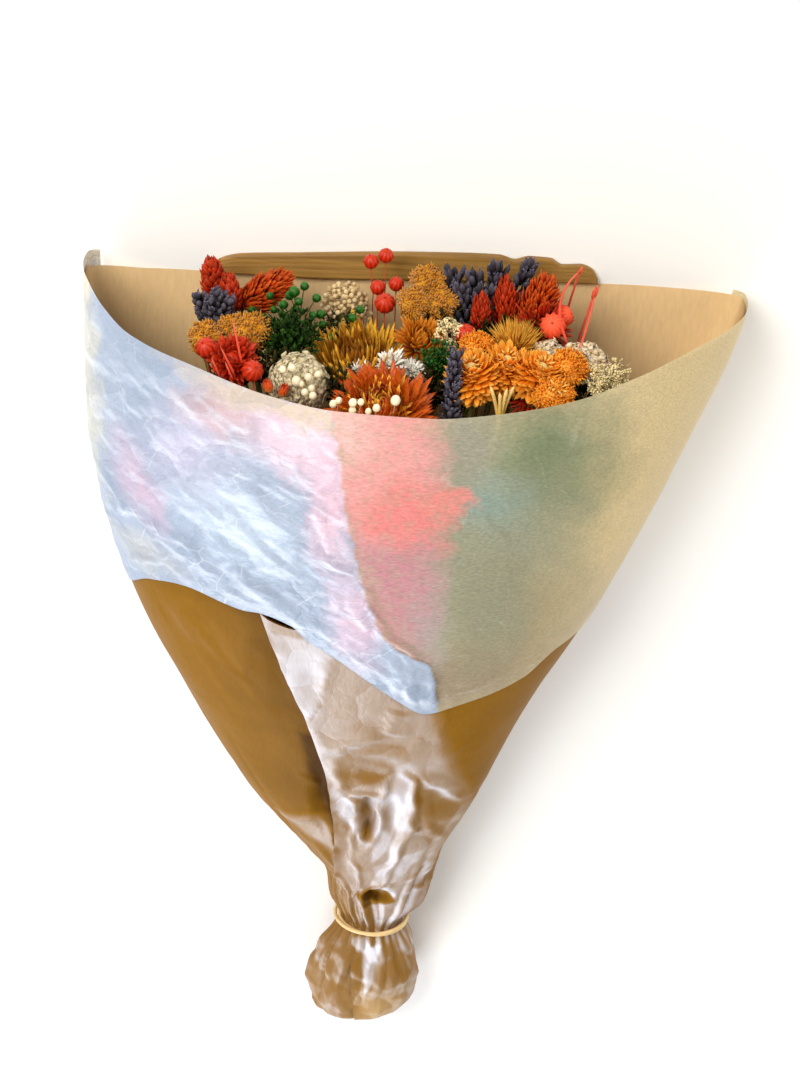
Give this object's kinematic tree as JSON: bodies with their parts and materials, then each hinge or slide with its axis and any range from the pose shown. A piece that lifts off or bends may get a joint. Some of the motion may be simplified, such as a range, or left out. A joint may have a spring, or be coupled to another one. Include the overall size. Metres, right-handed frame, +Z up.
{
  "type": "mixed flower bouquet",
  "caption": "Dried mixed flower bouquet in a conical kraft and tissue paper wrap, tied at the neck with a band, lying on its back.",
  "frame": {"origin": "middle of the footprint's box, on the floor that the bouquet lies on", "axes": "+Y from the tied tail to the open mouth, +X across the bouquet to the right seen from above with the mouth away, +Z up"},
  "size_m": [0.2766, 0.397, 0.111],
  "materials": {
    "kraft_paper": "satin",
    "tissue_paper": "satin",
    "kraft_hem": "satin",
    "rubber_band": "matte",
    "canary_grass_red": "matte",
    "canary_grass_orange": "matte",
    "lavender": "matte",
    "mustard_flower": "matte",
    "orange_flower": "matte",
    "flax_pod_red": "matte",
    "flax_pod_coral": "matte",
    "flax_green": "matte",
    "dark_foliage": "matte",
    "white_ball_flower": "matte",
    "cream_seed": "matte",
    "strawflower_golden": "satin",
    "strawflower_amber": "satin",
    "strawflower_orange": "satin",
    "daisy_white": "matte",
    "moss_green": "matte",
    "statice_cream": "matte",
    "white_statice": "matte",
    "thistle_golden": "matte",
    "twig_yellow": "matte",
    "bud_coral": "matte",
    "coral_broom": "matte",
    "teal_broom": "matte",
    "caspia": "matte"
  },
  "bodies": {
    "root": {"kraft_wrap": "kraft_paper", "tissue_sheet": "tissue_paper", "back_hem": "kraft_hem", "rubber_band": "rubber_band", "canary_grass_red_1": "canary_grass_red", "canary_grass_red_2": "canary_grass_red", "canary_grass_orange": "canary_grass_orange", "lavender_left": "lavender", "mustard_head_left_1": "mustard_flower", "mustard_head_left_2": "mustard_flower", "mustard_head_left_3": "mustard_flower", "flax_pod_left_1": "flax_pod_red", "flax_pod_left_2": "flax_pod_red", "flax_pod_left_3": "flax_pod_red", "green_flax_spray": "flax_green", "dark_foliage_left": "dark_foliage", "white_ball_flower": "white_ball_flower", "cream_seed_spray": "cream_seed", "flax_pod_back_1": "flax_pod_red", "flax_pod_back_2": "flax_pod_red", "flax_pod_back_3": "flax_pod_red", "flax_pod_back_4": "flax_pod_red", "flax_pod_back_5": "flax_pod_red", "mustard_head_back_1": "mustard_flower", "mustard_head_back_2": "mustard_flower", "mustard_head_back_3": "mustard_flower", "strawflower_golden": "strawflower_golden", "strawflower_amber": "strawflower_amber", "daisy_1": "daisy_white", "daisy_2": "daisy_white", "moss_sprig": "moss_green", "strawflower_orange": "strawflower_orange", "lavender_back_1": "lavender", "lavender_back_2": "lavender", "lavender_back_3": "lavender", "lavender_back_4": "lavender", "canary_grass_right_1": "canary_grass_red", "canary_grass_right_2": "canary_grass_red", "canary_grass_right_3": "canary_grass_red", "flax_pod_right": "flax_pod_red", "statice_centre": "statice_cream", "thistle_golden": "thistle_golden", "coral_pod_1": "flax_pod_coral", "coral_pod_2": "flax_pod_coral", "orange_head_1": "orange_flower", "orange_head_2": "orange_flower", "orange_head_3": "orange_flower", "orange_head_4": "orange_flower", "orange_head_5": "orange_flower", "orange_head_6": "orange_flower", "forked_twig": "twig_yellow", "lavender_front": "lavender", "bud_stem_1": "bud_coral", "bud_stem_2": "bud_coral", "white_statice_1": "white_statice", "white_statice_2": "white_statice", "caspia_spray": "caspia", "coral_broom": "coral_broom", "teal_broom": "teal_broom"}
  },
  "joints": []
}
